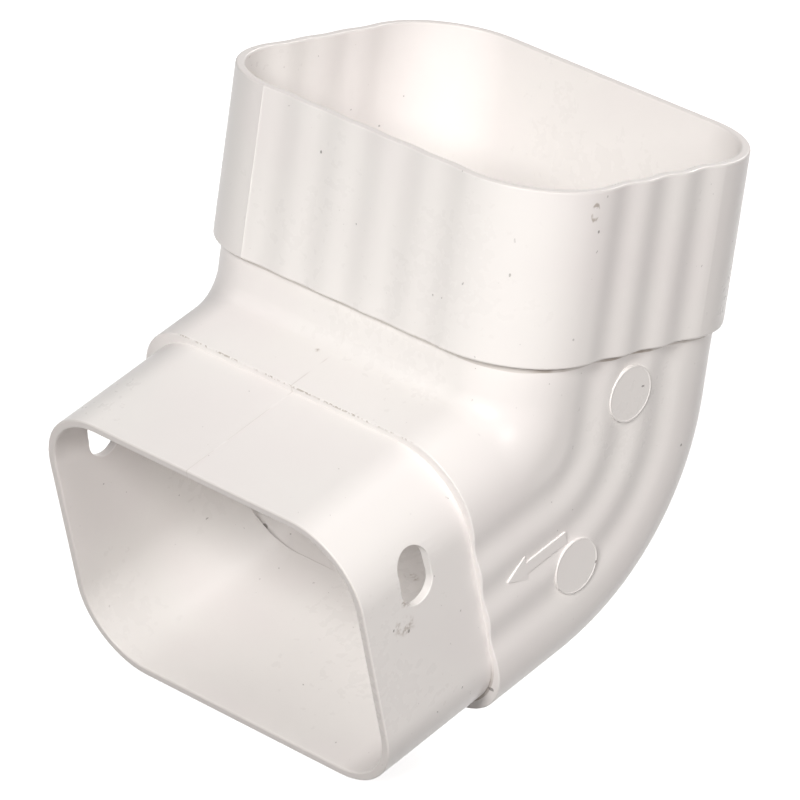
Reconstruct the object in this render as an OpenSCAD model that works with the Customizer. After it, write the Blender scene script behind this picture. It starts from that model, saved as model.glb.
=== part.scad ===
// Gutter elbow for a 2 x 3 inch downspout: one moulding of rigid white vinyl.
// The socket opens upwards at the origin and the spigot leaves towards -Y.
// X is the width, along the line that the bend turns about. All sizes are in millimetres.

/* [Downspout pipe] */
// Outside width of the pipe that the socket takes
pipe_width = 83.2; // [78:0.1:92]
// Outside depth of the pipe, from its front to its back
pipe_depth = 63.2; // [58:0.1:72]
// Room between the pipe and the socket, on every side
socket_fit = 0.6; // [0.2:0.1:1.2]

/* [Inlet socket] */
// Wall thickness of the socket
socket_wall = 1.8; // [1.4:0.1:2.6]
// Length of the socket from its rim to the foot of its outside
socket_length = 34; // [26:0.5:50]
// Outside corner radius of the socket
socket_corner = 18; // [14:0.5:20]
// Rounding of the foot of the socket
foot_round = 3; // [1.5:0.1:4]
// Rounding of the outer edge of both rims
rim_round = 0.5; // [0.2:0.1:0.8]
// Thickness of the floor under the ledge that stops the pipe
ledge_floor = 2.2; // [1.6:0.1:4]
// Width of the ledge that stops the pipe, at each side wall
ledge_side = 1.8; // [1.2:0.1:3]
// Width of the ledge that stops the pipe, at the front and the back
ledge_front = 2.8; // [1.6:0.1:4]

/* [Flutes] */
// Distance from one flute to the next
flute_pitch = 10.4; // [8:0.1:13]
// Depth of the flutes in the front wall of the socket
front_flute_depth = 0.3; // [0.2:0.1:1]
// Depth of the flutes in the side walls
side_flute_depth = 0.6; // [0.2:0.1:1]

/* [Bend] */
// Turn from the socket to the spigot, in degrees
bend_angle = 67; // [50:1:80]
// Wall thickness of the bend
bend_wall = 1.8; // [1.4:0.1:2.6]
// Outside corner radius of the bend
bend_corner = 14.5; // [10:0.5:16]
// Straight length under the socket, down to the turning line
neck_length = 15.1; // [12:0.1:24]
// How far the turning line lies inside the throat wall
pivot_inset = 8.8; // [4:0.1:12]
// Radius of the fillet in the throat
throat_round = 3.5; // [2:0.5:8]
// Straight length from the turning line to the lip
tail_length = 19.3; // [16:0.1:30]
// Length of the outlet bore behind the lip, up to its step into the bend
bore_past_lip = 13.7; // [6:0.1:15]

/* [Outlet spigot] */
// Width of the lip that the next pipe meets
lip_step = 1.45; // [1:0.05:2.5]
// Wall thickness of the spigot
spigot_wall = 1.8; // [1.4:0.1:2.6]
// Outside corner radius of the spigot
spigot_corner = 15.3; // [10:0.1:18]
// Length of the spigot from the lip to its rim
spigot_length = 27.7; // [22:0.1:45]
// Length of each slot, from throat to heel
slot_length = 13.2; // [8:0.1:20]
// Width of each slot, along the spigot
slot_width = 8.9; // [4:0.1:12]
// Distance from the lip to the middle of the slots
slot_from_lip = 14; // [8:0.1:20]
// Distance from the throat side of the spigot to the middle of the slots
slot_from_throat = 14.3; // [12:0.1:30]

/* [Mould marks] */
// Diameter of the round marks
mark_diameter = 11; // [6:0.1:16]
// Height of the marks and of the arrow over the wall
mark_rise = 0.3; // [0.2:0.1:0.8]
// Height of the upper mark above the turning line
upper_mark_height = 6.7; // [4:0.1:9]
// Distance of the lower mark from the turning line
lower_mark_radius = 30.3; // [20:0.1:40]
// Place of the lower mark along the bend, in degrees from the neck
lower_mark_angle = 60; // [40:1:65]
// Length of the flow arrow
arrow_length = 15.6; // [10:0.1:20]
// Distance from the arrow's tip to the lip
arrow_from_lip = 6.2; // [3:0.1:10]
// Length of the arrow's head
arrow_head_length = 5.4; // [3:0.1:7]
// Width of the arrow's head
arrow_head_width = 5.8; // [4:0.1:8]
// Width of the arrow's shaft
arrow_shaft_width = 2.3; // [1.2:0.1:3]

/* [Hidden] */

corner_steps = 12;     // flats on each quarter of a corner
flute_steps = 8;       // flats across each flute
edge_steps = 6;        // flats round each rounded edge
cut_past = 2;          // how far cutters run past the faces that they cut
sunk = 1;              // how deep added forms start inside a wall
lap = 0.3;             // how far the tail starts back inside the bend
hairline = 0.02;       // step between two forms whose faces would otherwise lie in one place

socket_bore_width = pipe_width + 2*socket_fit;
socket_bore_depth = pipe_depth + 2*socket_fit;
socket_width = socket_bore_width + 2*socket_wall;
socket_depth = socket_bore_depth + 2*socket_wall;

bend_bore_width = socket_bore_width - 2*ledge_side;
bend_bore_depth = socket_bore_depth - 2*ledge_front;
bend_width = bend_bore_width + 2*bend_wall;
bend_depth = bend_bore_depth + 2*bend_wall;

spigot_width = bend_width - 2*lip_step;
spigot_depth = bend_depth - 2*lip_step;

ledge_z = ledge_floor - socket_length;
pivot_y = pivot_inset - bend_depth/2;
pivot_z = -socket_length - neck_length;

front_flutes = floor((socket_width - 2*socket_corner)/flute_pitch + 0.001);
side_flat = min(socket_depth - 2*socket_corner, bend_depth - 2*bend_corner);
side_flutes = floor(side_flat/flute_pitch + 0.001);

// Quarter of a round corner with its centre at c, starting at the angle a.
function corner(c, r, a) =
    [for (k = [0:corner_steps]) c + r*[cos(a + 90*k/corner_steps), sin(a + 90*k/corner_steps)]];

// Row of n flutes centred on the wall, as [place along the wall, depth below it].
function flutes(n, depth) = n < 1 ? [] :
    [for (k = [0:n*flute_steps])
        [(k/flute_steps - n/2)*flute_pitch, depth*(1 - cos(360*k/flute_steps))/2]];

// Rounded rectangle with flutes in its front wall, towards -Y, and in both side walls.
function outline(w, d, r, front_n, side_n) = concat(
    [for (p = flutes(front_n, front_flute_depth)) [p.x, p.y - d/2]],
    corner([w/2 - r, r - d/2], r, 270),
    [for (p = flutes(side_n, side_flute_depth)) [w/2 - p.y, p.x]],
    corner([w/2 - r, d/2 - r], r, 0),
    corner([r - w/2, d/2 - r], r, 90),
    [for (p = flutes(side_n, side_flute_depth)) [p.y - w/2, -p.x]],
    corner([r - w/2, r - d/2], r, 180));

module socket_section(inset) {
    polygon(outline(socket_width - 2*inset, socket_depth - 2*inset, socket_corner - inset,
        front_flutes, side_flutes));
}

module bend_section(inset) {
    polygon(outline(bend_width - 2*inset, bend_depth - 2*inset, bend_corner - inset, 0, side_flutes));
}

module spigot_section(inset) {
    polygon(outline(spigot_width - 2*inset, spigot_depth - 2*inset, spigot_corner - inset, 0, 0));
}

// Turns children drawn along +Z, with the heel towards +Y and the middle of the section at
// the origin, so that they follow the outlet from the turning line.
module along_outlet() {
    translate([0, pivot_y, pivot_z]) rotate([-bend_angle, 0, 0]) rotate([0, 180, 0])
        translate([0, -pivot_y, 0]) children();
}

// Sweeps the bend's section about a line parallel to X that lies at [y, z] = line, with the
// middle of the section at the radius middle. Only the part up to the radius far is kept.
module swept(line, middle, far, inset) {
    translate([0, line[0], line[1]]) rotate([-90, 0, 0]) rotate([0, -90, 0])
        rotate_extrude(angle = bend_angle) intersection() {
            translate([middle, 0]) rotate(-90) bend_section(inset);
            translate([0, -bend_width]) square([far, 2*bend_width]);
        }
}

// The bend, from the straight neck to the tail: its heel turns about the turning line, and a
// fillet turns the throat the other side of the corner in which the two straight runs meet.
module bend(inset, neck_top, tail_end) {
    throat_reach = pivot_inset + throat_round;
    throat_line = [pivot_y - throat_reach, pivot_z + throat_reach*tan(bend_angle/2)];
    translate([0, 0, pivot_z]) linear_extrude(neck_top - pivot_z) bend_section(inset);
    swept([pivot_y, pivot_z], -pivot_y, bend_depth, inset);
    swept(throat_line, throat_round + bend_depth/2, throat_round + bend_corner, inset);
    along_outlet() translate([0, 0, -lap]) linear_extrude(tail_end + lap)
        bend_section(inset + hairline);
}

// Round post that stands on z = 0, with a rounded foot and a rounded top edge.
module post(r, h, foot, top) {
    rotate_extrude($fn = 4*corner_steps) polygon(concat([[0, 0]],
        [for (a = [270:90/edge_steps:360]) [r - foot + foot*cos(a), foot + foot*sin(a)]],
        [for (a = [0:90/edge_steps:90]) [r - top + top*cos(a), h - top + top*sin(a)]],
        [[0, h]]));
}

// Block with round corners, a rounded foot and a rounded top edge, standing on z = 0.
module rounded_block(w, d, r, h, foot, top) {
    hull() for (x = [-1, 1], y = [-1, 1])
        translate([x*(w/2 - r), y*(d/2 - r), 0]) post(r, h, foot, top);
}

module socket_outside() {
    translate([0, 0, -socket_length]) intersection() {
        linear_extrude(socket_length) socket_section(0);
        translate([0, 0, -hairline])
            rounded_block(socket_width + 2*hairline, socket_depth + 2*hairline,
                socket_corner + hairline, socket_length + 2*hairline, foot_round, rim_round);
    }
}

module spigot_outside() {
    along_outlet() translate([0, 0, tail_length - sunk])
        rounded_block(spigot_width, spigot_depth, spigot_corner,
            spigot_length + sunk, rim_round, rim_round);
}

// Everything that is open inside: the socket, the bend's bore and the plain bore of the outlet.
module bore() {
    bore_end = tail_length - bore_past_lip;
    back = 2*(socket_length + neck_length + bend_depth);
    translate([0, 0, ledge_z]) linear_extrude(cut_past - ledge_z) socket_section(socket_wall);
    intersection() {
        bend(bend_wall, ledge_z + sunk, tail_length);
        along_outlet() translate([-bend_width, -back, bore_end - back]) cube([2*bend_width, 2*back, back]);
    }
    along_outlet() translate([0, 0, bore_end - sunk])
        linear_extrude(spigot_length + bore_past_lip + sunk + cut_past) spigot_section(spigot_wall);
}

// One slot with round ends through both side walls of the spigot.
module slots() {
    across = spigot_width + 2*cut_past;
    along_outlet() translate([0, slot_from_throat - spigot_depth/2, tail_length + slot_from_lip]) {
        cube([across, slot_length - slot_width, slot_width], center = true);
        for (side = [-1, 1]) translate([0, side*(slot_length - slot_width)/2, 0])
            rotate([0, 90, 0]) cylinder(h = across, d = slot_width, center = true, $fn = 48);
    }
}

// Round mark on the side wall, with its middle at [y, z] = place.
module mark(place) {
    translate([bend_width/2 - sunk, place[0], place[1]]) rotate([0, 90, 0])
        cylinder(h = sunk + mark_rise, d = mark_diameter, $fn = 64);
}

// Plain arrow that shows which way the water runs, on the middle of the side wall.
module flow_arrow() {
    tip = tail_length - arrow_from_lip;
    neck = tip - arrow_head_length;
    along_outlet() translate([-(bend_width/2 + mark_rise), 0, 0]) rotate([0, 90, 0]) mirror([1, 0, 0])
        linear_extrude(sunk + mark_rise) polygon([
            [tip, 0], [neck, arrow_head_width/2], [neck, arrow_shaft_width/2],
            [tip - arrow_length, arrow_shaft_width/2], [tip - arrow_length, -arrow_shaft_width/2],
            [neck, -arrow_shaft_width/2], [neck, -arrow_head_width/2]]);
}

module elbow() {
    color([0.93, 0.92, 0.9]) difference() {
        union() {
            socket_outside();
            bend(0, foot_round - socket_length - sunk, tail_length);
            spigot_outside();
            mark([0, pivot_z + upper_mark_height]);
            mark([pivot_y + lower_mark_radius*cos(lower_mark_angle),
                pivot_z - lower_mark_radius*sin(lower_mark_angle)]);
            flow_arrow();
        }
        bore();
        slots();
    }
}

elbow();
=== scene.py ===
import math

import bmesh
import bpy
from mathutils import Matrix, Vector


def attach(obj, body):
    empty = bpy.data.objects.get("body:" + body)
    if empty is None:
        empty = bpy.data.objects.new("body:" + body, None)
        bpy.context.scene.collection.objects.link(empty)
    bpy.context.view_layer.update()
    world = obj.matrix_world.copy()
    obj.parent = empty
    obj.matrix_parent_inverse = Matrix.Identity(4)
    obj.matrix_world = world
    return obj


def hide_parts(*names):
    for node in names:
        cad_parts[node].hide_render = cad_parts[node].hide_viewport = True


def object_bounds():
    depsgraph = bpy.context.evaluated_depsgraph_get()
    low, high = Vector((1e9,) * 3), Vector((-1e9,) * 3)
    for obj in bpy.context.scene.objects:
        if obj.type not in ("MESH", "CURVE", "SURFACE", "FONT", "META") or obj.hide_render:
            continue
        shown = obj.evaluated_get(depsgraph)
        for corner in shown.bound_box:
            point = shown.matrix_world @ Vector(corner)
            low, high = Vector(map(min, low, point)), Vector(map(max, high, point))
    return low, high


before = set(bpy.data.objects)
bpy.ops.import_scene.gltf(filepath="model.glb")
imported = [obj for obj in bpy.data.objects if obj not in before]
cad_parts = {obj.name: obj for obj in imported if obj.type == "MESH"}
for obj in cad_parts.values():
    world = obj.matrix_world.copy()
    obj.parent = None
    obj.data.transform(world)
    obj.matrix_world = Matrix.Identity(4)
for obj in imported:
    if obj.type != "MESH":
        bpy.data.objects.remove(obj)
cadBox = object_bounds()
mm = 0.001
print("frame loaded")

# The main sizes of the moulding, in mm and degrees
elbow = {
    "socket": {"width": 88.0, "depth": 68.0, "corner": 18.0, "frontFlutes": 5, "sideFlutes": 3},
    "bend": {"width": 84.4, "depth": 62.4, "corner": 14.5, "frontFlutes": 0, "sideFlutes": 3},
    "spigot": {"width": 81.5, "depth": 59.5, "corner": 15.3, "frontFlutes": 0, "sideFlutes": 0},
    "cornerSteps": 14,
    "wall": 1.8,
    "socketLength": 34.0,
    "ledgeFloor": 2.2,
    "neckLength": 15.1,
    "pivotInset": 8.8,
    "throatRound": 3.5,
    "tailLength": 19.3,
    "borePastLip": 13.7,
    "spigotLength": 27.7,
    "turn": 67.0,
    "turnSteps": 28,
    "overlap": 1.0,
}
# How far apart two places may lie and still count as one, in mm
room = {"match": 0.004, "merge": 0.001, "plane": 0.01, "band": 0.02, "fluteStep": 0.05}

upWay, frontWay, rightWay = Vector((0, 0, 1)), Vector((0, -1, 0)), Vector((1, 0, 0))
turn = math.radians(elbow["turn"])
pivotY = elbow["pivotInset"] - elbow["bend"]["depth"] / 2
pivotZ = -elbow["socketLength"] - elbow["neckLength"]
throatReach = elbow["pivotInset"] + elbow["throatRound"]
throatRun = throatReach * math.tan(turn / 2)  # from the turning line's plane to the end of the fillet
heelLine = Vector((0, pivotY, pivotZ)) * mm
throatLine = Vector((0, pivotY - throatReach, pivotZ + throatRun)) * mm
outletWay = Vector((0, -math.sin(turn), -math.cos(turn)))
heelWay = Vector((0, math.cos(turn), -math.sin(turn)))

# Turns a shape drawn along +Z, heel towards +Y, so that it follows the outlet from the turning line
toOutlet = Matrix.Translation(heelLine) @ Matrix((
    (-1, 0, 0, 0),
    (0, heelWay.y, outletWay.y, 0),
    (0, heelWay.z, outletWay.z, 0),
    (0, 0, 0, 1),
)) @ Matrix.Translation((0, -pivotY * mm, 0))


def deselectAll():
    if bpy.context.object and bpy.context.object.mode == "EDIT":
        bpy.ops.object.mode_set(mode="OBJECT")
    bpy.ops.object.select_all(action="DESELECT")


def pickPiece(piece):
    deselectAll()
    bpy.context.view_layer.objects.active = piece
    piece.select_set(True)


def openPiece(piece):
    pickPiece(piece)
    bpy.ops.object.mode_set(mode="EDIT")


def editMesh():
    mesh = bmesh.from_edit_mesh(bpy.context.object.data)
    mesh.verts.ensure_lookup_table()
    return mesh


def pickVerts(test):
    bpy.ops.mesh.select_mode(type="VERT")
    bpy.ops.mesh.select_all(action="DESELECT")
    mesh = editMesh()
    for vert in mesh.verts:
        vert.select_set(test(vert))
    mesh.select_flush_mode()
    bmesh.update_edit_mesh(bpy.context.object.data)


# Returns how many edges it picked
def pickEdges(test):
    bpy.ops.mesh.select_mode(type="EDGE")
    bpy.ops.mesh.select_all(action="DESELECT")
    mesh = editMesh()
    for edge in mesh.edges:
        edge.select_set(test(edge))
    bmesh.update_edit_mesh(bpy.context.object.data)
    return sum(edge.select for edge in mesh.edges)


def pickFaces(test):
    bpy.ops.mesh.select_mode(type="FACE")
    bpy.ops.mesh.select_all(action="DESELECT")
    mesh = editMesh()
    for face in mesh.faces:
        face.select_set(test(face))
    bmesh.update_edit_mesh(bpy.context.object.data)


def near(first, second, apart=room["match"]):
    return abs(first - second) < apart * mm


def extrudeBy(shift):
    bpy.ops.mesh.extrude_region_move(TRANSFORM_OT_translate={"value": shift})


def roundOff(kind, width, steps):
    bpy.ops.mesh.bevel(offset=width * mm, segments=steps, profile=0.5, affect=kind, clamp_overlap=False)


def closePiece(piece):
    bpy.ops.mesh.select_all(action="SELECT")
    bpy.ops.mesh.remove_doubles(threshold=room["merge"] * mm)
    bpy.ops.mesh.normals_make_consistent(inside=False)
    bpy.ops.object.mode_set(mode="OBJECT")
    return piece


# Puts a finished shape into its place and leaves its object at the origin
def place(piece, matrix):
    pickPiece(piece)
    piece.matrix_world = matrix @ piece.matrix_world
    bpy.ops.object.transform_apply(location=True, rotation=True, scale=True)
    return piece


def combine(piece, tool, operation):
    pickPiece(piece)
    bpy.ops.object.modifier_add(type="BOOLEAN")
    modifier = piece.modifiers[-1]
    modifier.object = tool
    modifier.operation = operation
    modifier.solver = "EXACT"
    bpy.ops.object.modifier_apply(modifier=modifier.name)
    bpy.data.objects.remove(tool)
    print(operation.lower(), len(piece.data.polygons), "faces")


# The flutes' sizes in mm. The socket's right flutes lie a little nearer the heel than its left ones.
flutes = {
    "pitch": 10.4, "frontDepth": 0.3, "rightDepth": 0.6, "leftDepth": 0.3, "socketShift": 0.35, "steps": 12,
}


# Cuts a band of flutes into one straight wall of a flat section and sinks them. Along is the axis that the
# wall runs in, across is the axis that it faces, and middle is where the band's middle lies.
def sinkFlutes(along, across, wallAt, count, depth, middle=0.0):
    steps = flutes["steps"]
    pitch = flutes["pitch"] * mm
    half = count * pitch / 2
    slack = room["band"] * mm
    middle *= mm
    normal = Vector((0, 0, 0))
    normal[along] = 1

    def onWall(edge):
        return all(near(vert.co[across], wallAt) for vert in edge.verts)

    def crosses(edge, end):
        first, second = (vert.co[along] - end for vert in edge.verts)
        return first * second < 0 and min(abs(first), abs(second)) > room["plane"] * mm

    def inBand(vert, reach):
        return abs(vert.co[along] - middle) < reach

    for end in (middle - half, middle + half):
        if pickEdges(lambda edge: onWall(edge) and crosses(edge, end)):
            bpy.ops.mesh.bisect(plane_co=normal * end, plane_no=normal, threshold=room["merge"] * mm)
    pickEdges(lambda edge: onWall(edge) and all(inBand(vert, half + slack) for vert in edge.verts))
    bpy.ops.mesh.subdivide(number_cuts=count * steps - 1)
    inward = -math.copysign(1, wallAt)
    for step in range(1, steps // 2 + 1):
        sink = depth * mm * (1 - math.cos(2 * math.pi * step / steps)) / 2
        fromBottom = pitch * (0.5 - step / steps)
        pickVerts(lambda vert: near(vert.co[across], wallAt) and inBand(vert, half - slack) and near(
            abs((vert.co[along] - middle + half) % pitch - pitch / 2), fromBottom, room["fluteStep"]))
        shift = Vector((0, 0, 0))
        shift[across] = inward * sink
        bpy.ops.transform.translate(value=shift)


# One flat section with round corners, made from a plane at the height z
def sectionFace(name, shape, inset, z):
    deselectAll()
    width, depth = (shape["width"] - 2 * inset) * mm, (shape["depth"] - 2 * inset) * mm
    bpy.ops.mesh.primitive_plane_add(size=1, location=(0, 0, 0))
    piece = bpy.context.object
    piece.name = name
    bpy.ops.object.mode_set(mode="EDIT")
    bpy.ops.transform.resize(value=(width, depth, 1))
    roundOff("VERTICES", shape["corner"] - inset, elbow["cornerSteps"])
    if shape["frontFlutes"]:
        sinkFlutes(0, 1, -depth / 2, shape["frontFlutes"], flutes["frontDepth"])
    if shape["sideFlutes"]:
        middle = flutes["socketShift"] if shape is elbow["socket"] else 0.0
        sinkFlutes(1, 0, width / 2, shape["sideFlutes"], flutes["rightDepth"], middle)
        sinkFlutes(1, 0, -width / 2, shape["sideFlutes"], flutes["leftDepth"])
    bpy.ops.mesh.select_all(action="SELECT")
    bpy.ops.transform.translate(value=(0, 0, z * mm))
    return piece


# Straight run of a section from one height to another
def straightRun(name, shape, inset, bottom, top):
    piece = sectionFace(name, shape, inset, bottom)
    extrudeBy((0, 0, (top - bottom) * mm))
    return closePiece(piece)


# The bend: the heel's side of the section turns about one line and the throat's side about another
def bentRun(name, inset, top, end):
    piece = sectionFace(name, elbow["bend"], inset, top)
    cornerEnd = elbow["bend"]["corner"] - elbow["bend"]["depth"] / 2
    extrudeBy((0, 0, 0))
    mesh = editMesh()
    family = mesh.verts.layers.int.new("throatSide")
    for vert in mesh.verts:
        vert[family] = int(vert.co.y < (cornerEnd + room["band"]) * mm)
    bmesh.update_edit_mesh(piece.data)

    def moveSide(cap, side, move):
        mesh = editMesh()
        family = mesh.verts.layers.int["throatSide"]
        pickVerts(lambda vert: vert.index in cap and vert[family] == side)
        move()

    def capNow():
        return {vert.index for vert in editMesh().verts if vert.select}

    def pickCap(cap):
        bpy.ops.mesh.select_mode(type="VERT")
        pickVerts(lambda vert: vert.index in cap)
        bpy.ops.mesh.select_mode(type="FACE")

    def shiftSides(cap, heelShift, throatShift):
        moveSide(cap, 0, lambda: bpy.ops.transform.translate(value=heelShift))
        moveSide(cap, 1, lambda: bpy.ops.transform.translate(value=throatShift))

    def turnSide(angle, line):
        bpy.ops.transform.rotate(value=angle, orient_axis="X", center_override=line)

    cap = capNow()
    shiftSides(cap, (0, 0, heelLine.z - top * mm), (0, 0, throatLine.z - top * mm))
    step = turn / elbow["turnSteps"]
    for count in range(elbow["turnSteps"]):
        pickCap(cap)
        extrudeBy((0, 0, 0))
        cap = capNow()
        moveSide(cap, 0, lambda: turnSide(step, heelLine))
        moveSide(cap, 1, lambda: turnSide(step, throatLine))
    pickCap(cap)
    extrudeBy((0, 0, 0))
    shiftSides(capNow(), outletWay * end * mm, outletWay * (end - throatRun) * mm)
    return closePiece(piece)


# Keeps the part of a closed piece that lies behind a plane, and closes the cut
def cutBehind(piece, point, way):
    openPiece(piece)
    bpy.ops.mesh.select_all(action="SELECT")
    bpy.ops.mesh.bisect(plane_co=point, plane_no=way, use_fill=True, clear_outer=True)
    return closePiece(piece)


# Where a shape drawn flat is put on a side wall: x along the outlet, y towards the heel, z to the right.
# The distances are those down the outlet, from its middle towards the heel, and from the middle plane.
def onSideWall(down, toHeel, outwards):
    origin = toOutlet @ Vector((0, toHeel * mm, down * mm))
    return Matrix((
        (0, 0, 1, outwards * mm),
        (outletWay.y, heelWay.y, 0, origin.y),
        (outletWay.z, heelWay.z, 0, origin.z),
        (0, 0, 0, 1),
    ))


# The outside
lipAt = elbow["tailLength"]
mouthAt = lipAt + elbow["spigotLength"]
ledgeAt = elbow["ledgeFloor"] - elbow["socketLength"]
boreEnd = lipAt - elbow["borePastLip"]
foot = {"round": 0.5, "steps": 4}
# Fine lines that the mould left: a low ridge along a flat wall, at one place across it. Facing is how
# squarely a face has to look the ridge's way to be part of that wall, and tilt how far it may lean aside.
seams = {
    "width": 0.3, "clear": 0.1,
    "socketAt": -26.0, "socketRise": 0.09, "socketFacing": 0.05,
    "throatAt": -0.8, "throatRise": 0.06, "throatFacing": 0.5, "throatTilt": 0.02, "spigotFacing": 0.99,
}


def raiseSeam(at, rise, way, onWall, raised):
    for aside in (-0.5, 0, 0.5):
        pickFaces(onWall)
        bpy.ops.mesh.bisect(plane_co=((at + aside * seams["width"]) * mm, 0, 0), plane_no=rightWay)
    pickVerts(lambda vert: near(vert.co.x, at * mm) and raised(vert.co))
    bpy.ops.transform.translate(value=way * rise * mm)


def throatSeam(onWall, raised):
    raiseSeam(seams["throatAt"], seams["throatRise"], -heelWay, onWall, raised)


def downOutletFrom(co):
    return (co - heelLine).dot(outletWay) / mm


shell = straightRun("elbowShell", elbow["socket"], 0, -elbow["socketLength"], 0)
openPiece(shell)
footAt = -elbow["socketLength"] * mm
pickEdges(lambda edge: all(near(vert.co.z, footAt) for vert in edge.verts))
roundOff("EDGES", foot["round"], foot["steps"])
wallEnd = foot["round"] - elbow["socket"]["depth"] / 2
raiseSeam(seams["socketAt"], seams["socketRise"], frontWay,
          lambda face: face.calc_center_median().y < wallEnd * mm and face.normal.y < -seams["socketFacing"],
          lambda co: co.y < (wallEnd - seams["clear"]) * mm)
closePiece(shell)
print("socket made")

outerBend = bentRun("outerBend", 0, ledgeAt - elbow["overlap"], lipAt)
openPiece(outerBend)
throatSeam(lambda face: (face.normal.dot(heelWay) < -seams["throatFacing"]
                         and abs(face.normal.x) < seams["throatTilt"]),
           lambda co: downOutletFrom(co) > throatRun + seams["clear"])
closePiece(outerBend)

spigot = place(straightRun("spigot", elbow["spigot"], 0, lipAt - elbow["overlap"], mouthAt), toOutlet)
openPiece(spigot)
throatSeam(lambda face: face.normal.dot(heelWay) < -seams["spigotFacing"],
           lambda co: (co - heelLine).dot(heelWay) < 0)
closePiece(spigot)
print("bend and spigot made")

combine(shell, outerBend, "UNION")
combine(shell, spigot, "UNION")

# Mould marks on the right side wall. The discs' places are y and z of their middles.
marks = {
    "diameter": 11.0, "sides": 72, "rise": 0.2, "rim": 0.32, "dish": 0.07, "edge": 0.07, "edgeSteps": 2,
    "places": ((0.7, -42.8), (-7.25, -75.34)),
    "arrowTip": 13.1, "arrowLength": 15.8, "headLength": 5.1, "headWidth": 5.5, "shaftWidth": 2.4,
    "arrowTop": -0.2, "arrowAside": 0.4,
}
wallAt = elbow["bend"]["width"] / 2
markTop = (wallAt + marks["rise"]) * mm
markThick = elbow["overlap"] + marks["rise"]


def roundTop(piece, way, height):
    bpy.ops.object.mode_set(mode="EDIT")
    pickEdges(lambda edge: all(near(vert.co.dot(way), height) for vert in edge.verts))
    roundOff("EDGES", marks["edge"], marks["edgeSteps"])
    return closePiece(piece)


# A disc with its face sunk a little inside a thin rim
for markY, markZ in marks["places"]:
    deselectAll()
    middle = (markTop - markThick / 2 * mm, markY * mm, markZ * mm)
    bpy.ops.mesh.primitive_cylinder_add(vertices=marks["sides"], radius=marks["diameter"] / 2 * mm,
                                        depth=markThick * mm, location=middle, rotation=(0, math.pi / 2, 0))
    disc = bpy.context.object
    bpy.ops.object.transform_apply(location=True, rotation=True, scale=True)
    bpy.ops.object.mode_set(mode="EDIT")
    pickFaces(lambda face: near(face.calc_center_median().x, markTop) and face.normal.x > 0)
    bpy.ops.mesh.inset(thickness=marks["rim"] * mm)
    extrudeBy((-marks["dish"] * mm, 0, 0))
    closePiece(disc)
    combine(shell, roundTop(disc, rightWay, markTop), "UNION")

# The arrow points down the outlet: its shaft is drawn first, then its head from the shaft's end
deselectAll()
shaftLength = marks["arrowLength"] - marks["headLength"]
headAt = marks["arrowTip"] - marks["headLength"]
bpy.ops.mesh.primitive_plane_add(size=1)
arrow = bpy.context.object
bpy.ops.object.mode_set(mode="EDIT")
bpy.ops.transform.resize(value=(shaftLength * mm, marks["shaftWidth"] * mm, 1))
bpy.ops.transform.translate(value=((headAt - shaftLength / 2) * mm, 0, 0))
pickEdges(lambda edge: all(near(vert.co.x, headAt * mm) for vert in edge.verts))
extrudeBy((0, 0, 0))
bpy.ops.transform.resize(value=(1, marks["headWidth"] / marks["shaftWidth"], 1),
                         center_override=(headAt * mm, 0, 0))
extrudeBy((marks["headLength"] * mm, 0, 0))
bpy.ops.mesh.merge(type="CENTER")
bpy.ops.mesh.select_mode(type="FACE")
bpy.ops.mesh.select_all(action="SELECT")
bpy.ops.mesh.dissolve_faces()
extrudeBy((0, 0, markThick * mm))
closePiece(arrow)
roundTop(arrow, upWay, markThick * mm)
arrowBottom = wallAt + marks["arrowTop"] - markThick
combine(shell, place(arrow, onSideWall(0, marks["arrowAside"], arrowBottom)), "UNION")
print("marks made")

# The inside: three bores, of which those that end in the open run on past the part
bores = {"pastMouth": 2.0}
socketBore = straightRun("socketBore", elbow["socket"], elbow["wall"], ledgeAt, bores["pastMouth"])
bendBore = bentRun("bendBore", elbow["wall"], ledgeAt + elbow["overlap"], lipAt)
cutBehind(bendBore, heelLine + outletWay * boreEnd * mm, outletWay)
outletBore = straightRun("outletBore", elbow["spigot"], elbow["wall"], boreEnd - elbow["overlap"],
                         mouthAt + bores["pastMouth"])
place(outletBore, toOutlet)
for bore in (socketBore, bendBore, outletBore):
    combine(shell, bore, "DIFFERENCE")

# The slots, one through each side wall of the spigot
slots = {
    "length": 12.0, "width": 7.7, "steps": 16,
    "holes": (
        {"side": 1, "fromLip": 14.0, "fromThroat": 15.3},
        {"side": -1, "fromLip": 15.2, "fromThroat": 14.5},
    ),
}


# How far down the outlet a slot's middle is, and how far from the outlet's middle towards the heel
def slotPlace(hole):
    return lipAt + hole["fromLip"], hole["fromThroat"] - elbow["spigot"]["depth"] / 2


cutterLength = elbow["spigot"]["width"] / 2 + elbow["overlap"]
for hole in slots["holes"]:
    deselectAll()
    bpy.ops.mesh.primitive_plane_add(size=1)
    slotCutter = bpy.context.object
    bpy.ops.object.mode_set(mode="EDIT")
    bpy.ops.transform.resize(value=(slots["width"] * mm, slots["length"] * mm, 1))
    roundOff("VERTICES", slots["width"] / 2, slots["steps"])
    bpy.ops.mesh.select_all(action="SELECT")
    bpy.ops.mesh.remove_doubles(threshold=room["merge"] * mm)
    extrudeBy((0, 0, cutterLength * mm))
    closePiece(slotCutter)
    start = 0 if hole["side"] > 0 else -cutterLength
    place(slotCutter, onSideWall(*slotPlace(hole), start))
    combine(shell, slotCutter, "DIFFERENCE")

# Soft edges: widths in mm, and the least angle in radians between the faces of an edge that gets one
softEdges = {"rim": 0.4, "lip": 0.3, "ledge": 0.3, "slot": 0.25, "steps": 3, "least": 0.6}
smoothBelow = math.radians(32)


def softenEdges(width, test):
    found = pickEdges(lambda edge: len(edge.link_faces) == 2 and test(edge)
                      and edge.calc_face_angle_signed(0) > softEdges["least"])
    roundOff("EDGES", width, softEdges["steps"])
    return found


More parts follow.
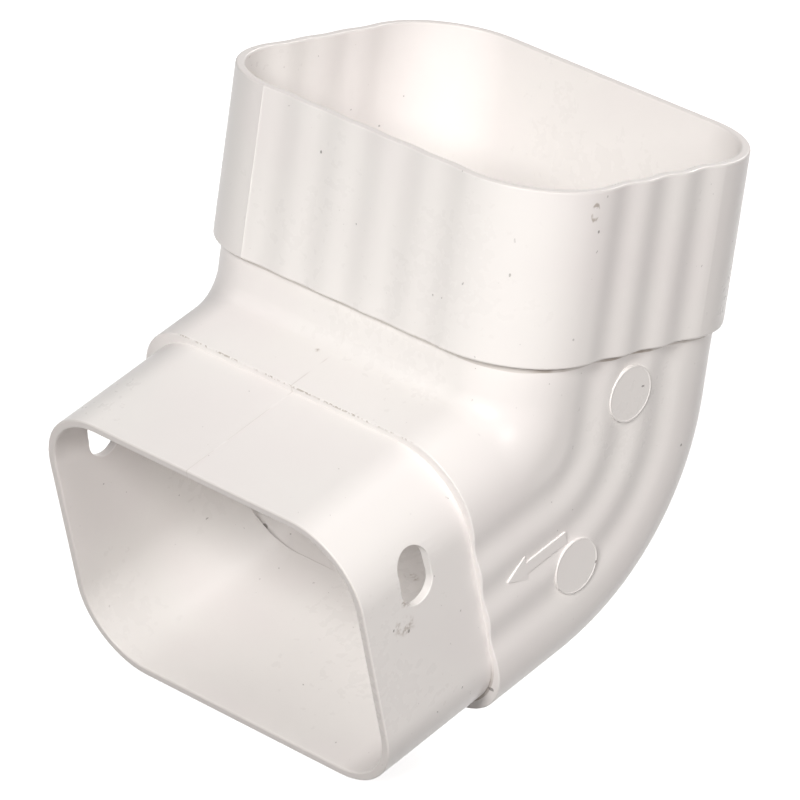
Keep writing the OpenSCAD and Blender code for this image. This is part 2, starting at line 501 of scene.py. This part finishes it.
def onPlane(edge, way, at):
    return all(near((vert.co - heelLine).dot(way), at * mm, room["plane"]) for vert in edge.verts)


openPiece(shell)
bpy.ops.mesh.select_all(action="SELECT")
bpy.ops.mesh.remove_doubles(threshold=room["match"] * mm)
bpy.ops.mesh.dissolve_degenerate(threshold=room["match"] * mm)
found = [
    softenEdges(softEdges["rim"], lambda edge: onPlane(edge, upWay, -pivotZ)),
    softenEdges(softEdges["rim"], lambda edge: onPlane(edge, outletWay, mouthAt)),
    softenEdges(softEdges["lip"], lambda edge: onPlane(edge, outletWay, lipAt)),
    softenEdges(softEdges["ledge"], lambda edge: onPlane(edge, upWay, ledgeAt - pivotZ)),
    softenEdges(softEdges["ledge"], lambda edge: onPlane(edge, outletWay, boreEnd)),
]
for hole in slots["holes"]:
    middle = onSideWall(*slotPlace(hole), 0).translation
    for depth in (0, elbow["wall"]):
        face = hole["side"] * (elbow["spigot"]["width"] / 2 - depth)
        found.append(softenEdges(softEdges["slot"], lambda edge: onPlane(edge, rightWay, face) and all(
            (vert.co - middle).yz.length < slots["length"] * mm for vert in edge.verts)))
print("edges softened", found)
bpy.ops.mesh.select_all(action="SELECT")
bpy.ops.mesh.normals_make_consistent(inside=False)
bpy.ops.object.mode_set(mode="OBJECT")
bpy.ops.object.shade_smooth_by_angle(angle=smoothBelow)
bpy.ops.object.modifier_add(type="WEIGHTED_NORMAL")
shell.modifiers[-1].keep_sharp = True
bpy.ops.object.modifier_apply(modifier=shell.modifiers[-1].name)
check = bmesh.new()
check.from_mesh(shell.data)
openEdges = sum(not edge.is_manifold for edge in check.edges)
volume = round(check.calc_volume() / mm ** 3, 1)
print("open edges", openEdges, "faces", len(check.faces), "volume mm3", volume)
check.free()


# A value in a shader: arithmetic on it adds the Math nodes that work it out
class Field:
    def __init__(self, tree, socket):
        self.tree, self.socket = tree, socket

    def other(self, name):
        return Field(self.tree, self.socket.node.outputs[name])

    def join(self, operation, first, second):
        mathNode = self.tree.nodes.new("ShaderNodeMath")
        mathNode.operation = operation
        for target, value in zip(mathNode.inputs, (first, second)):
            if isinstance(value, Field):
                self.tree.links.new(value.socket, target)
            else:
                target.default_value = value
        return Field(self.tree, mathNode.outputs[0])

    def __add__(self, other):
        return self.join("ADD", self, other)

    def __radd__(self, other):
        return self.join("ADD", other, self)

    def __sub__(self, other):
        return self.join("SUBTRACT", self, other)

    def __rsub__(self, other):
        return self.join("SUBTRACT", other, self)

    def __mul__(self, other):
        return self.join("MULTIPLY", self, other)

    def __rmul__(self, other):
        return self.join("MULTIPLY", other, self)

    def __truediv__(self, other):
        return self.join("DIVIDE", self, other)

    def __rtruediv__(self, other):
        return self.join("DIVIDE", other, self)

    def __neg__(self):
        return self * -1.0

    def __abs__(self):
        return self.join("ABSOLUTE", self, 0.0)

    def __pow__(self, other):
        return self.join("POWER", self, other)

    def __rpow__(self, other):
        return self.join("POWER", other, self)

    def least(self, other):
        return self.join("MINIMUM", self, other)

    def most(self, other):
        return self.join("MAXIMUM", self, other)


# The nodes of one material or of the world
class Finish:
    def __init__(self, tree):
        self.tree = tree
        tree.nodes.clear()

    def node(self, kind, settings=None, sockets=None, out=0):
        made = self.tree.nodes.new(kind)
        for key, value in (settings or {}).items():
            setattr(made, key, value)
        for key, value in (sockets or {}).items():
            if isinstance(value, Field):
                self.tree.links.new(value.socket, made.inputs[key])
            else:
                made.inputs[key].default_value = value
        return Field(self.tree, made.outputs[out]) if len(made.outputs) else None

    def smooth(self, value, low, high):
        return self.node("ShaderNodeMapRange", {"interpolation_type": "SMOOTHSTEP"},
                         {"Value": value, "From Min": low, "From Max": high, "To Min": 0.0, "To Max": 1.0})

    def band(self, value, low, high, soft):
        return self.smooth(value, low - soft, low) * (1.0 - self.smooth(value, high, high + soft))

    # A Mix node's colour sockets share their names with its others, so they are numbered
    def mixColour(self, amount, first, second):
        return self.node("ShaderNodeMix", {"data_type": "RGBA"}, {0: amount, 6: first, 7: second}, out=2)

    # 1 for what the camera sees, straight or in gloss and glass, and 0 for rays that carry light
    def seenRay(self):
        camera = self.node("ShaderNodeLightPath", out="Is Camera Ray")
        return camera.most(camera.other("Is Glossy Ray")).most(camera.other("Is Transmission Ray"))


def newMaterial(name):
    material = bpy.data.materials.new(name)
    material.use_nodes = True
    return material


# The white vinyl. Rim is painted shade for the end faces; the brown serves dirt and painted shade alike
vinyl = {
    "colour": (0.960, 0.938, 0.920, 1), "pink": (0.952, 0.919, 0.908, 1), "grey": (0.915, 0.903, 0.885, 1),
    "rim": (0.800, 0.755, 0.735, 1), "dirtAndShade": (0.28, 0.21, 0.155, 1), "soot": (0.20, 0.18, 0.17, 1),
    "roughness": 0.30, "specular": 0.28,
}
vinylMaterial = newMaterial("whiteVinyl")
finish = Finish(vinylMaterial.node_tree)
position = finish.node("ShaderNodeTexCoord", out="Object")
split = finish.node("ShaderNodeSeparateXYZ", sockets={0: position})
x, y, z = (split.other(axis) / mm for axis in "XYZ")
down = (y - pivotY) * outletWay.y + (z - pivotZ) * outletWay.z  # down the outlet from the turning line
toHeel = (y - pivotY) * heelWay.y + (z - pivotZ) * heelWay.z + pivotY  # from the outlet's middle to the heel


def noise(scale, detail, rough):
    return finish.node("ShaderNodeTexNoise", sockets={
        "Vector": position, "Scale": scale, "Detail": detail, "Roughness": rough})


# How far out of a section's corner circle a point lies: its radius on the outside, less on the inside
def reachOf(shape, across, along):
    first = (abs(across) - (shape["width"] / 2 - shape["corner"])).most(0.0)
    second = (abs(along) - (shape["depth"] / 2 - shape["corner"])).most(0.0)
    return (first * first + second * second) ** 0.5


# How far inside a section's circle its two skins are told apart, in mm
skin = {"inside": 1.2, "outside": 0.7}


# 1 on a section's outside skin and 0 on its inside one
def onSkin(reach, shape):
    return finish.smooth(reach, shape["corner"] - skin["inside"], shape["corner"] - skin["outside"])


# Distance from a spot's middle, counted in its half sizes, so that 1 is the edge of the spot
def spread(spot):
    local = finish.node("ShaderNodeMapping", {"vector_type": "TEXTURE"}, {
        "Vector": position, "Location": Vector(spot["at"]) * mm, "Scale": Vector(spot["size"]) * mm})
    return finish.node("ShaderNodeVectorMath", {"operation": "LENGTH"}, {0: local}, out="Value")


# Scale per metre, detail and roughness of each noise, from the widest to the finest
noises = {
    "cloud": (26.0, 2.0, 0.5), "patch": (55.0, 2.0, 0.6), "breakup": (160.0, 2.0, 0.6),
    "fine": (420.0, 2.0, 0.6), "speckle": (900.0, 1.0, 0.5), "grain": (1500.0, 1.0, 0.5),
}
cloud, patch, breakup, fine, speckle, grain = (noise(*setting) for setting in noises.values())
spigotReach = reachOf(elbow["spigot"], x, toHeel)
onNeck = onSkin(reachOf(elbow["bend"], x, y), elbow["bend"])
onSpigot = onSkin(spigotReach, elbow["spigot"])
print("surface coordinates made")

# Wear, dirt and painted shade: each mask runs from 0 to 1. A pair is where a place in mm or a noise starts
# and ends its rise. Low and high are how far a band reaches to both sides of its line, and soft is how far
# it fades past its ends.
wearAndShade = {
    "broken": (0.38, 0.62), "streakFine": (0.44, 0.58), "streakGrain": (0.3, 0.6),
    # Sides widens the painted shade under the foot, and the end pair sets how far the rim ends' painted shade
    # reaches
    "sides": (38.0, 41.0), "endShadeFrom": 0.32, "endShadeTo": 0.12,
    "speck": (0.772, 0.795), "speckPatch": (0.45, 0.6),
}
# Painted shade in a band under the foot's overhang, on the neck; from and to lie below the foot
footShade = {"from": 1.3, "to": 0.6, "soft": 0.2, "sideDrop": 0.25}  # from and to lie below the foot
burrs = {
    "low": 0.1, "high": 0.05, "soft": 0.06,
    "throat": (30.6, 31.0), "grain": (0.42, 0.56), "gaps": (0.4, 0.55),
}
creviceDirt = {
    "low": 0.1, "high": 0.3, "soft": 0.12, "heel": (14.0, 24.0), "right": (20.0, 34.0), "least": 0.5,
    "reachLow": 15.1, "reachHigh": 15.7, "reachSoft": 0.2,
}
# Painted shade along the ridge of the throat's parting line, broken into dashes
seamShade = {"half": 0.1, "soft": 0.1, "throat": (24.0, 28.0), "down": (3.0, 9.0), "gaps": (0.36, 0.54)}

broken = finish.smooth(breakup, *wearAndShade["broken"])
streaks = finish.smooth(fine, *wearAndShade["streakFine"]) * finish.smooth(grain, *wearAndShade["streakGrain"])
atSides = finish.smooth(abs(x), *wearAndShade["sides"])
# Painted shade on the end faces of the socket's rim and the spigot's mouth
rimTopShade = finish.smooth(z, -wearAndShade["endShadeFrom"], -wearAndShade["endShadeTo"])
mouthTopShade = finish.smooth(down, mouthAt - wearAndShade["endShadeFrom"], mouthAt - wearAndShade["endShadeTo"])
specks = finish.smooth(speckle, *wearAndShade["speck"]) * finish.smooth(patch, *wearAndShade["speckPatch"])

# The painted shade under the foot, which lies a little lower at the sides
overFoot = z - atSides * footShade["sideDrop"] + elbow["socketLength"]
underFootShade = finish.band(overFoot, -footShade["from"], -footShade["to"], footShade["soft"]) * onNeck

burr = finish.band(down, lipAt - burrs["low"], lipAt + burrs["high"], burrs["soft"])
burr = burr * finish.smooth(-toHeel, *burrs["throat"])
burr = burr * finish.smooth(grain, *burrs["grain"]) * finish.smooth(breakup, *burrs["gaps"])

crevice = finish.band(down, lipAt - creviceDirt["low"], lipAt + creviceDirt["high"], creviceDirt["soft"])
crevice = crevice * onSpigot * finish.smooth(toHeel, *creviceDirt["heel"])
crevice = crevice * finish.smooth(x, *creviceDirt["right"])
crevice = crevice * (creviceDirt["least"] + broken * (1 - creviceDirt["least"]))
lowReach, highReach = creviceDirt["reachLow"], creviceDirt["reachHigh"]
crevice = crevice * finish.band(spigotReach, lowReach, highReach, creviceDirt["reachSoft"])

# Painted shade along the throat's parting line
fromSeam = x - seams["throatAt"]
partLine = finish.band(fromSeam, -seamShade["half"], seamShade["half"], seamShade["soft"])
partLine = partLine * finish.smooth(-toHeel, *seamShade["throat"])
partLine = partLine * finish.smooth(down, *seamShade["down"]) * finish.smooth(breakup, *seamShade["gaps"])

# Spots: where their middles are and their half sizes, in mm
crumbs = {
    "underCorner": {"at": (43.9, -17.3, -7.9), "size": (0.6, 0.3, 0.35)},
    "front": {"at": (-10.1, -33.7, -7.9), "size": (0.25, 0.5, 0.3)},
    "nearSlotFront": {"at": (40.7, -53.7, -79.3), "size": (0.5, 0.3, 0.45)},
    "nearSlotBack": {"at": (40.7, -49.6, -80.2), "size": (0.5, 0.25, 0.4)},
    "disc": {"at": (42.3, 3.8, -41.8), "size": (0.5, 0.5, 0.25)},
    "lowDisc": {"at": (42.4, -2.0, -75.5), "size": (0.5, 0.2, 0.3)},
    "side": {"at": (42.1, 17.9, -56.1), "size": (0.5, 0.25, 0.25)},
    "step": {"at": (-35.3, -7.1, -96.1), "size": (0.6, 0.6, 0.8)},
    "lip": {"at": (39.2, -22.6, -97.9), "size": (0.9, 0.5, 0.5)},
}
scuffs = {
    "slot": {"at": (40.7, -51.0, -79.0), "size": (1.5, 3.0, 2.2)},
    "slotEnd": {"at": (40.7, -51.6, -74.4), "size": (1.5, 2.4, 0.9)},
    "throat": {"at": (-4.2, -34.0, -44.6), "size": (0.7, 0.7, 0.7)},
    "throughSlot": {"at": (-2.8, -0.1, -95.9), "size": (2.2, 1.2, 0.8)},
    "leftSlot": {"at": (-39.8, -62.7, -68.4), "size": (1.5, 2.2, 2.0)},
}
smear = {
    "at": (43.8, -18.8, -4.0), "size": (1.6, 0.95, 2.0),
    "ringLow": 0.6, "ringHigh": 0.85, "ringSoft": 0.2, "gaps": (0.36, 0.52),
}
spots = {"ragged": 1.6, "smearRagged": 0.4, "crumb": (0.7, 1.1), "scuff": (0.5, 1.2)}

ragged = (fine - 0.5) * spots["ragged"]
fromSmear = spread(smear) + ragged * spots["smearRagged"]
smeared = finish.band(fromSmear, smear["ringLow"], smear["ringHigh"], smear["ringSoft"])
smeared = smeared * finish.smooth(fine, *smear["gaps"])
crumbled, rubbed = 0.0, 0.0
for crumb in crumbs.values():
    crumbled = (1.0 - finish.smooth(spread(crumb) + ragged, *spots["crumb"])) + crumbled
for scuff in scuffs.values():
    rubbed = (1.0 - finish.smooth(spread(scuff) + ragged, *spots["scuff"])) + rubbed
crumbled, rubbed = crumbled.least(1.0), rubbed.least(1.0) * streaks

# How much of its colour each mask brings, with where the two noises start and end their rise, and then how
# much the noises change the gloss and how far they raise the surface, in mm
amounts = {
    # Rim, partLine, foot and footSides are amounts of painted shade; the others are tone, dirt and wear
    "pink": (0.42, 0.62), "greyFrom": (0.45, 0.85), "grey": 0.1, "rim": 0.6, "partLine": 0.16,
    "foot": 0.3, "footSides": 0.45, "burr": 0.55, "crevice": 0.8, "rubbed": 0.5, "smear": 0.6,
    "crumbs": 0.75, "specks": 0.5,
}
glossChange = {"cloud": 0.18, "fine": 0.1, "rubbed": 0.3}
relief = {"grain": 0.004, "fine": 0.012, "patch": 0.05}

# How dark the painted shade under the foot is, darker and patchier at the sides
footShadeAmount = underFootShade * (amounts["foot"] + atSides * broken * amounts["footSides"])
tone = finish.mixColour(finish.smooth(cloud, *amounts["pink"]), vinyl["colour"], vinyl["pink"])
tone = finish.mixColour(finish.smooth(patch, *amounts["greyFrom"]) * amounts["grey"], tone, vinyl["grey"])
# The rim colour here is painted shade on the end faces
tone = finish.mixColour(rimTopShade.most(mouthTopShade) * amounts["rim"], tone, vinyl["rim"])
# Painted shade along the throat's parting line
tone = finish.mixColour(partLine * amounts["partLine"], tone, vinyl["dirtAndShade"])
# Painted shade under the foot
tone = finish.mixColour(footShadeAmount, tone, vinyl["dirtAndShade"])
tone = finish.mixColour(burr * amounts["burr"] + crevice * amounts["crevice"], tone, vinyl["dirtAndShade"])
tone = finish.mixColour((rubbed * amounts["rubbed"]).most(smeared * amounts["smear"]), tone, vinyl["dirtAndShade"])
tone = finish.mixColour(crumbled * amounts["crumbs"] + specks * amounts["specks"], tone, vinyl["soot"])
gloss = vinyl["roughness"] + (cloud - 0.5) * glossChange["cloud"] + (fine - 0.5) * glossChange["fine"]
gloss = gloss + rubbed * glossChange["rubbed"]
height = grain * relief["grain"] + fine * relief["fine"] + patch * relief["patch"]
bump = finish.node("ShaderNodeBump", sockets={"Height": height, "Strength": 1.0, "Distance": mm})
surface = finish.node("ShaderNodeBsdfPrincipled", sockets={
    "Base Color": tone, "Roughness": gloss, "Specular IOR Level": vinyl["specular"], "Normal": bump})
finish.node("ShaderNodeOutputMaterial", sockets={"Surface": surface})
shell.data.materials.clear()
shell.data.materials.append(vinylMaterial)
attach(shell, "root")
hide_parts("elbow")
print("finish made")

# The camera of the photograph: place and ways in metres, lens in mm
view = {
    "place": (0.78506, -0.91802, 0.38282),
    "right": (0.71654, 0.68486, 0.13244),
    "up": (-0.32978, 0.16528, 0.92948),
    "sensor": 36, "lens": 309.31, "shift": (-0.01044, 0.00057), "clip": (0.05, 30),
}
camera = bpy.data.cameras.new("camera")
camera.sensor_width = view["sensor"]
camera.lens = view["lens"]
camera.shift_x, camera.shift_y = view["shift"]
camera.clip_start, camera.clip_end = view["clip"]
cameraObject = bpy.data.objects.new("camera", camera)
right, up = Vector(view["right"]).normalized(), Vector(view["up"]).normalized()
back = right.cross(up).normalized()
up = back.cross(right)
axes = Matrix((right, up, back)).transposed().to_4x4()
cameraObject.matrix_world = Matrix.Translation(view["place"]) @ axes
bpy.context.scene.collection.objects.link(cameraObject)
bpy.context.scene.camera = cameraObject

# The floor is white where it is seen and darker where it throws light back at the object
floorSettings = {
    "side": 8.0, "gap": 0.0002, "colour": (0.28, 0.27, 0.265, 1), "seen": (0.9, 0.9, 0.9, 1), "glow": 0.75,
}
white = (1, 1, 1, 1)
deselectAll()
floorAt = cadBox[0][2] - floorSettings["gap"]
bpy.ops.mesh.primitive_plane_add(size=floorSettings["side"], location=(0, 0, floorAt))
floor = bpy.context.object
floor.name = "floor"
floorMaterial = newMaterial("floorWhite")
ground = Finish(floorMaterial.node_tree)
seen = ground.seenRay()
floorColour = ground.mixColour(seen, floorSettings["colour"], floorSettings["seen"])
plain = ground.node("ShaderNodeBsdfDiffuse", sockets={"Color": floorColour})
glow = ground.node("ShaderNodeEmission", sockets={"Color": white, "Strength": seen * floorSettings["glow"]})
lit = ground.node("ShaderNodeAddShader", sockets={0: plain, 1: glow})
ground.node("ShaderNodeOutputMaterial", sockets={"Surface": lit})
floor.data.materials.append(floorMaterial)

# The world is white where it is seen and gives almost no light
studio = {"colour": (1, 0.94, 0.92, 1), "light": 0.04}
world = bpy.data.worlds.new("studio")
bpy.context.scene.world = world
world.use_nodes = True
air = Finish(world.node_tree)
dim = air.node("ShaderNodeBackground", sockets={"Color": studio["colour"], "Strength": studio["light"]})
bright = air.node("ShaderNodeBackground", sockets={"Color": white, "Strength": 1.0})
sky = air.node("ShaderNodeMixShader", sockets={0: air.seenRay(), 1: dim, 2: bright})
air.node("ShaderNodeOutputWorld", sockets={"Surface": sky})

# Soft lamps, all aimed at one point: the way from it, the power in watts and the tint
lampSettings = {"aim": (0, -0.01, -0.05), "away": 1.5, "size": 0.45}
lamps = {
    "left": {"way": (0.35, -0.82, 0.456), "power": 16.2, "tint": (1, 0.98, 0.955)},
    "right": {"way": (0.87, -0.18, 0.45), "power": 6.5, "tint": (1, 0.955, 0.935)},
    "top": {"way": (0.0, 0.05, 1.0), "power": 1.8, "tint": (1, 0.975, 0.955)},
    "back": {"way": (-0.25, 0.80, 0.60), "power": 9.0, "tint": (1, 0.975, 0.955)},
}
for name, lamp in lamps.items():
    light = bpy.data.lights.new(name, "AREA")
    light.shape = "SQUARE"
    light.size = lampSettings["size"]
    light.energy = lamp["power"]
    light.color = lamp["tint"]
    lightObject = bpy.data.objects.new(name, light)
    way = Vector(lamp["way"]).normalized()
    lightObject.location = Vector(lampSettings["aim"]) + way * lampSettings["away"]
    lightObject.rotation_euler = way.to_track_quat("Z", "Y").to_euler()
    bpy.context.scene.collection.objects.link(lightObject)

bpy.context.scene.view_settings.view_transform = "Standard"
print("camera, floor and light set")
